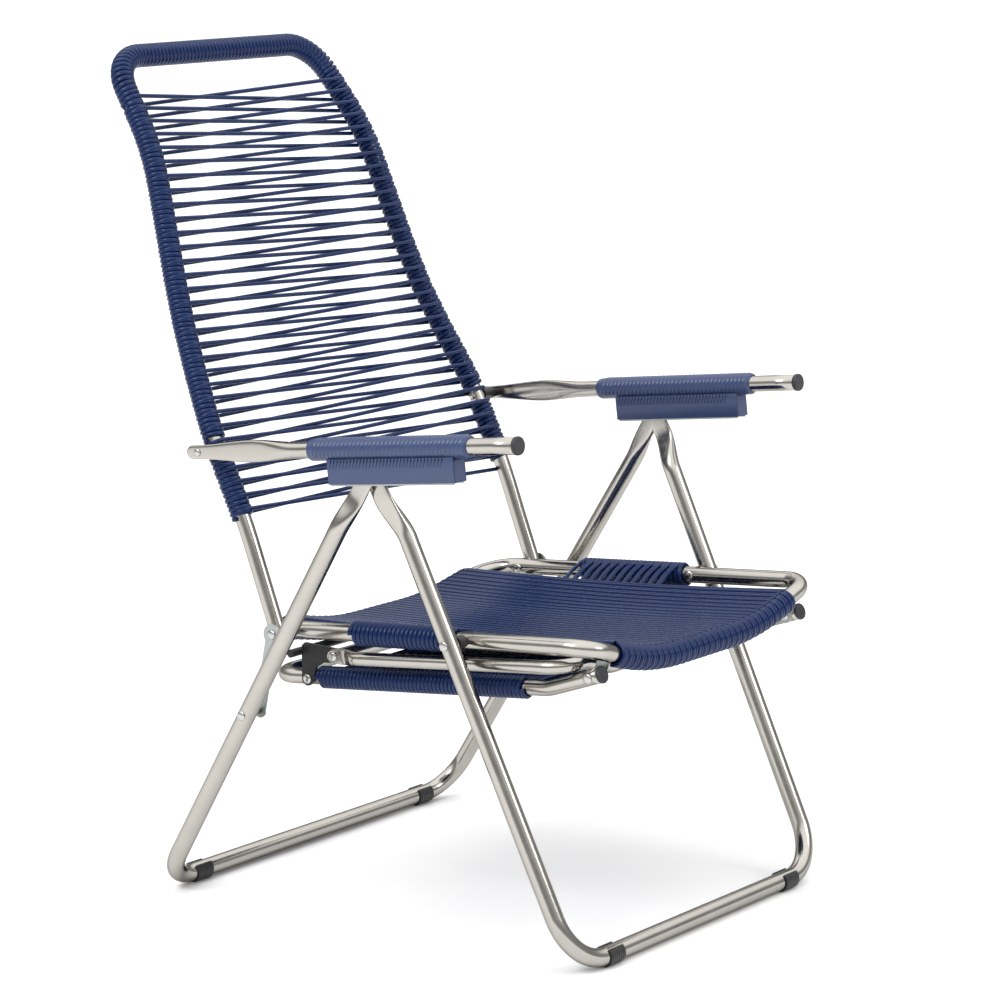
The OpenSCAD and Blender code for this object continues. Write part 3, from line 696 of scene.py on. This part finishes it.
# ---------- footrest ----------
foot_half = [at(FOOT_X, point) for point in (FOOT_FRONT, FOOT_KNEE, FOOT_BACK)]
foot_path = round_corners(foot_half + mirrored(foot_half), [0, 60, 38, 38, 60, 0])
build("footrest_frame_tube", [(tube_rings(foot_path, FOOT_R), True)], STEEL, "footrest", "steel_tube",
      "footrest_frame")
foot_along = lengths(foot_path)
foot_span = [reach(foot_path, 1, y - MID_Y) for y in FOOT_WRAP]
turns = winding_rings(foot_path, *foot_span, FOOT_R, half_w=2.9, half_t=2.3)
for side_name, sign in SIDES:
    build("footrest_turns_" + side_name, [(on_side(turns, sign), True)], CORD, "footrest", "cord",
          "footrest_wrap_" + side_name)


def foot_strand(start_run, end_run, rise):
    """A cord from tube to tube, above (rise over 0) or below the tubes' middles."""
    inset = 6.0
    a, b = (follow(foot_path, foot_along, [run])[0] + (-inset, 0, rise) for run in (start_run, end_run))
    share = np.linspace(0, 1, 5)[:, None]
    return tube_rings(a + (b * (-1, 1, 1) - a) * share, STRAND_R, CORD_SIDES), True


FOOT_PITCH, FOOT_RISE, FOOT_MARGIN = 9.0, 4.5, 6.0
foot_stations = np.arange(foot_span[0] + FOOT_MARGIN, foot_span[1] - FOOT_MARGIN, FOOT_PITCH)
foot_strands = [foot_strand(s, s, FOOT_RISE) for s in foot_stations]
foot_strands += [foot_strand(s, s + FOOT_PITCH, -FOOT_RISE) for s in foot_stations[:-1]]
build("footrest_cords", foot_strands, CORD, "footrest", "cord", "footrest_strands")

foot_end = at(FOOT_X, FOOT_FRONT)
foot_axis = unit(foot_end - at(FOOT_X, FOOT_KNEE))
cap_run = np.array([0.05, 0.4, 2.8, 3.7, 4.0])
cap_radii = FOOT_R + np.array([0.4, 0.8, 0.8, 0.2, -0.8])
foot_cap = shaped_rings(foot_end + foot_axis * cap_run[:, None], cap_radii, cap_radii,
                        [ROUND] * len(cap_run), 36)
build("footrest_end_caps", both_sides((foot_cap, True)), GREY, "footrest", "grey_plastic",
      "footrest_caps")

# The prop's front bar dips in its middle, below the seat's cords
prop_neck = np.array(PROP_PIVOT) + unit(np.array(PROP_FRONT) - np.array(PROP_PIVOT)) * PROP_NECK_LEN
prop_half = [at(PROP_X, prop_neck), at(PROP_X, PROP_FRONT), at(190, PROP_FRONT),
             at(140, (PROP_FRONT[0], PROP_FRONT[1] - PROP_DIP))]
prop_bends = [0, 30, 40, 40]
prop_rings = flat_ended_frame(prop_half + mirrored(prop_half), prop_bends + prop_bends[::-1], PROP_PIVOT,
                              prop_neck, flat_x=224.3, flat_len=14, flat_t=4.4, half_w=9,
                              radius=PROP_R, bulge=1.0)
build("prop_frame_tube", [prop_rings], STEEL, "footrest", "steel_tube", "prop_frame")


# ---------- rivets ----------
def rivet(name, x0, x1, point, body, node, inner_head=True, radius=6.0):
    """A round shank along X with domed heads, on both sides of the chair."""
    shank_r, head_t = 3.95, 2.4
    grids = both_sides(rod_grid(at(x0, point), at(x1, point), shank_r))
    if inner_head:
        grids += both_sides(dome_grid(at(x0, point), (-1, 0, 0), radius, head_t))
    grids += both_sides(dome_grid(at(x1, point), (1, 0, 0), radius, head_t))
    build(name, grids, RIVET, body, "rivet_steel", node)


rivet("front_pivot_pins", 221.4, 277.5, FRONT_PIVOT, "front_legs", "seat_pivot_rivets")
rivet("rear_pivot_pins", 268.4, 302.1, LINK_PIVOT, "rear_legs", "link_rivets", inner_head=False)
rivet("back_pivot_pins", 221.0, 268.3, BACK_PIVOT, "seat", "back_pivot_rivets")
rivet("armrest_pivot_pins", 245.1, 291.6, ARM_PIVOT, "backrest", "arm_rivets", radius=4.8)
rivet("footrest_pivot_pins", 193.4, 217.5, FOOT_PIVOT, "footrest", "footrest_hinge_rivets")
rivet("bracket_pins", 198.5, 222.0, BRACKET_PIVOT, "footrest", "bracket_rivets")
rivet("prop_pins", 218.0, 226.5, PROP_PIVOT, "footrest", "prop_rivets")

# ---------- the CAD pieces that are shown as they are, with eased edges ----------
BEVEL_WIDTH = 0.0003
plain = {"apex_pins": (RIVET, "rivet_steel"), "seat_pivot_spacers": (BLACK, "black_plastic"),
         "footrest_hinge_plates": (ZINC, "zinc_plate"), "back_pivot_washers": (BLACK, "black_plastic"),
         "link_left": (ZINC, "zinc_plate"), "link_right": (ZINC, "zinc_plate"),
         "arm_spacers": (BLACK, "black_plastic"), "arm_rail_left": (ZINC, "zinc_plate"),
         "arm_rail_right": (ZINC, "zinc_plate"), "bracket_left": (BLACK, "black_plastic"),
         "bracket_right": (BLACK, "black_plastic"), "bracket_bar": (BLACK, "black_plastic")}
for node, (material, slot) in plain.items():
    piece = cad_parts[node]
    piece.data.materials.clear()
    piece.data.materials.append(material)
    bevel = piece.modifiers.new("bevel", "BEVEL")
    bevel.width = BEVEL_WIDTH
    bevel.segments = 2
    bevel.limit_method = "ANGLE"
    bevel.angle_limit = math.radians(35)

# ---------- stage, light and camera, in metres ----------
FLOOR_HALF = 40.0
floor_mesh = bpy.data.meshes.new("floor")
floor_corners = [(-FLOOR_HALF, -FLOOR_HALF, 0), (FLOOR_HALF, -FLOOR_HALF, 0),
                 (FLOOR_HALF, FLOOR_HALF, 0), (-FLOOR_HALF, FLOOR_HALF, 0)]
floor_mesh.from_pydata(floor_corners, [], [(0, 1, 2, 3)])
floor_material, floor_tree, floor_shader = new_material("floor", (0.9, 0.9, 0.9), 0.6)
tint(floor_tree, add_noise(floor_tree, 3.0), floor_shader, (0.89, 0.89, 0.89), (0.91, 0.91, 0.91))
floor_mesh.materials.append(floor_material)
floor = bpy.data.objects.new("floor", floor_mesh)
bpy.context.scene.collection.objects.link(floor)


def area_light(name, place, target, size, power):
    """A soft rectangular lamp that faces the target."""
    light = bpy.data.lights.new(name, "AREA")
    light.shape = "RECTANGLE"
    light.size, light.size_y = size
    light.energy = power
    lamp = bpy.data.objects.new(name, light)
    lamp.location = place
    lamp.rotation_euler = (Vector(target) - Vector(place)).to_track_quat("-Z", "Y").to_euler()
    bpy.context.scene.collection.objects.link(lamp)


CENTRE = (0, 0, 0.5)
area_light("key", (-3.2, 0.4, 3.4), CENTRE, (2.0, 1.2), 75)
area_light("front", (1.2, -4.2, 2.6), CENTRE, (1.6, 1.2), 40)

# The studio's brightness by height, from below (0) over the horizon (0.5) to above (1): the dark band
# over the horizon gives the bright tubes their dark stripes
SKY_STOPS = [(0.0, 1.0), (0.5, 0.45), (0.58, 0.22), (0.68, 0.3), (0.76, 1.0), (1.0, 1.15)]
world = bpy.data.worlds.new("studio")
world.use_nodes = True
sky = world.node_tree
background = sky.nodes["Background"]
coordinate = sky.nodes.new("ShaderNodeTexCoord")
split = sky.nodes.new("ShaderNodeSeparateXYZ")
ramp = sky.nodes.new("ShaderNodeValToRGB")
height = sky.nodes.new("ShaderNodeMapRange")
height.inputs["From Min"].default_value = -1.0
sky.links.new(coordinate.outputs["Generated"], split.inputs["Vector"])
sky.links.new(split.outputs["Z"], height.inputs["Value"])
sky.links.new(height.outputs["Result"], ramp.inputs["Fac"])
sky.links.new(ramp.outputs["Color"], background.inputs["Color"])
for i, (place, value) in enumerate(SKY_STOPS):
    stop = ramp.color_ramp.elements[i] if i < 2 else ramp.color_ramp.elements.new(place)
    stop.position = place
    stop.color = (value, value, value, 1)
background.inputs["Strength"].default_value = 1.6
bpy.context.scene.world = world
bpy.context.scene.view_settings.view_transform = "Standard"

CAMERA_PLACE, CAMERA_AIM = (-3.4128, -2.6769, 1.2988), Vector((0, -0.0789, 0.483))
camera_data = bpy.data.cameras.new("camera")
camera_data.lens = 128.3
camera_data.sensor_width = 36.0
camera_data.shift_x = -0.0004
camera_data.shift_y = 0.0016
camera_data.clip_end = 100.0
camera = bpy.data.objects.new("camera", camera_data)
camera.location = CAMERA_PLACE
camera.rotation_euler = (CAMERA_AIM - camera.location).to_track_quat("-Z", "Y").to_euler()
bpy.context.scene.collection.objects.link(camera)
bpy.context.scene.camera = camera
